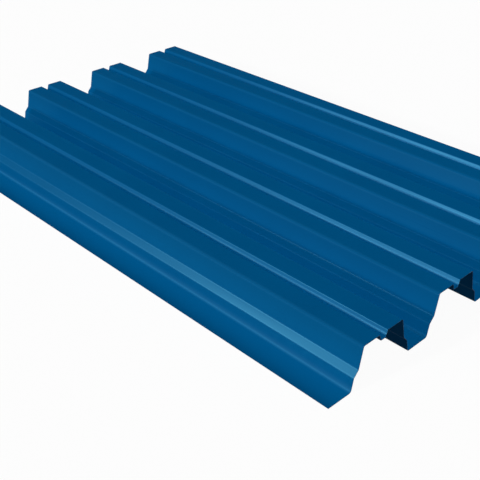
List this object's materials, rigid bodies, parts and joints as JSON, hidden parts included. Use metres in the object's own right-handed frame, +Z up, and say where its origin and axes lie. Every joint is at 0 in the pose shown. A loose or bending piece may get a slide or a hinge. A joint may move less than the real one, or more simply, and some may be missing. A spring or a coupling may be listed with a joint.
{
  "type": "profiled steel sheet",
  "caption": "Trapezoidal profiled steel sheet with grooved wide crests, stepped webs and narrow troughs, coated blue, for roofs and decking.",
  "frame": {"origin": "middle of the plane that the sheet stands on, under the middle of its length and width", "axes": "+X across the waves, +Y along the waves, +Z up from the narrow lower flanges to the wide upper flanges"},
  "size_m": [0.8, 1.2, 0.075],
  "materials": {
    "blue_coating": "half-gloss factory coating on galvanised steel"
  },
  "bodies": {
    "root": {"profiled_sheet": "blue_coating"}
  },
  "joints": []
}
